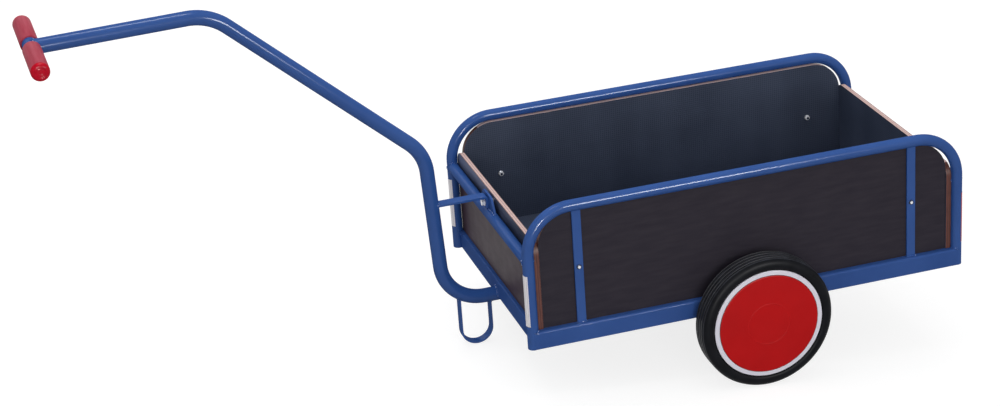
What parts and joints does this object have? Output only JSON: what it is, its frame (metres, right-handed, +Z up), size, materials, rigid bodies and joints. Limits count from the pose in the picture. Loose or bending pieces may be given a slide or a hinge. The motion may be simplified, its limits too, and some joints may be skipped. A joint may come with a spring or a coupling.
{
  "type": "garden hand cart",
  "caption": "Single-axle garden hand cart: an open plywood load box in a bent-tube steel frame, a cranked drawbar with a T handle, and a stand that it parks on.",
  "frame": {"origin": "on the ground, under the middle of the parked cart's outline", "axes": "+X along the cart to the rear, the drawbar towards -X; +Y to the right-hand side of someone pulling it; +Z up"},
  "size_m": [2.0104, 0.742, 0.8185],
  "materials": {
    "frame_paint": "blue gloss powder coat",
    "film_plywood": "dark brown film-faced plywood, raw pale edges",
    "zinc_steel": "bright zinc plating",
    "bearing_steel": "ground steel",
    "grip_red": "satin red soft plastic",
    "plug_black": "black plastic",
    "strip_white": "white reflective film",
    "strip_red": "red reflective film",
    "tyre_rubber": "black solid rubber",
    "rim_white": "white moulded plastic",
    "cap_red": "red gloss plastic"
  },
  "bodies": {
    "chassis": {"side_hoop_left": "frame_paint", "side_hoop_right": "frame_paint", "lower_rail_left": "frame_paint", "lower_rail_right": "frame_paint", "lower_rail_front": "frame_paint", "lower_rail_rear": "frame_paint", "cross_tube_front": "frame_paint", "cross_tube_rear": "frame_paint", "floor_bearer_front": "frame_paint", "floor_bearer_rear": "frame_paint", "stay_front_left": "frame_paint", "stay_rear_left": "frame_paint", "stay_front_right": "frame_paint", "stay_rear_right": "frame_paint", "drawbar_tube": "frame_paint", "handle_cross_tube": "frame_paint", "drawbar_strut": "frame_paint", "strut_lug": "frame_paint", "parking_stand": "frame_paint", "axle_bracket_left": "frame_paint", "axle_bracket_right": "frame_paint", "side_panel_left": "film_plywood", "side_panel_right": "film_plywood", "front_end_panel": "film_plywood", "rear_end_panel": "film_plywood", "floor_panel": "film_plywood", "floor_screws": "zinc_steel", "panel_bolts": "zinc_steel", "panel_washers": "zinc_steel", "panel_nuts": "zinc_steel", "strut_bolt": "zinc_steel", "strut_washers": "zinc_steel", "strut_nut": "zinc_steel", "axle": "zinc_steel", "axle_collars": "zinc_steel", "axle_washers": "zinc_steel", "axle_split_pins": "zinc_steel", "grip_left": "grip_red", "grip_right": "grip_red", "post_end_plugs": "plug_black", "reflector_front_left": "strip_white", "reflector_front_right": "strip_white", "reflector_rear_left": "strip_red", "reflector_rear_right": "strip_red"},
    "wheel_left": {"wheel_left_tyre": "tyre_rubber", "wheel_left_rim": "rim_white", "wheel_left_bearings": "bearing_steel", "wheel_left_hub_cap": "cap_red"},
    "wheel_right": {"wheel_right_tyre": "tyre_rubber", "wheel_right_rim": "rim_white", "wheel_right_bearings": "bearing_steel", "wheel_right_hub_cap": "cap_red"}
  },
  "joints": [
    {"name": "wheel_left_spin", "type": "hinge", "parent": "chassis", "child": "wheel_left", "pos_m": [0.51048, -0.341, 0.15], "axis": [0, 1, 0], "continuous": true},
    {"name": "wheel_right_spin", "type": "hinge", "parent": "chassis", "child": "wheel_right", "pos_m": [0.51048, 0.341, 0.15], "axis": [0, 1, 0], "continuous": true}
  ]
}
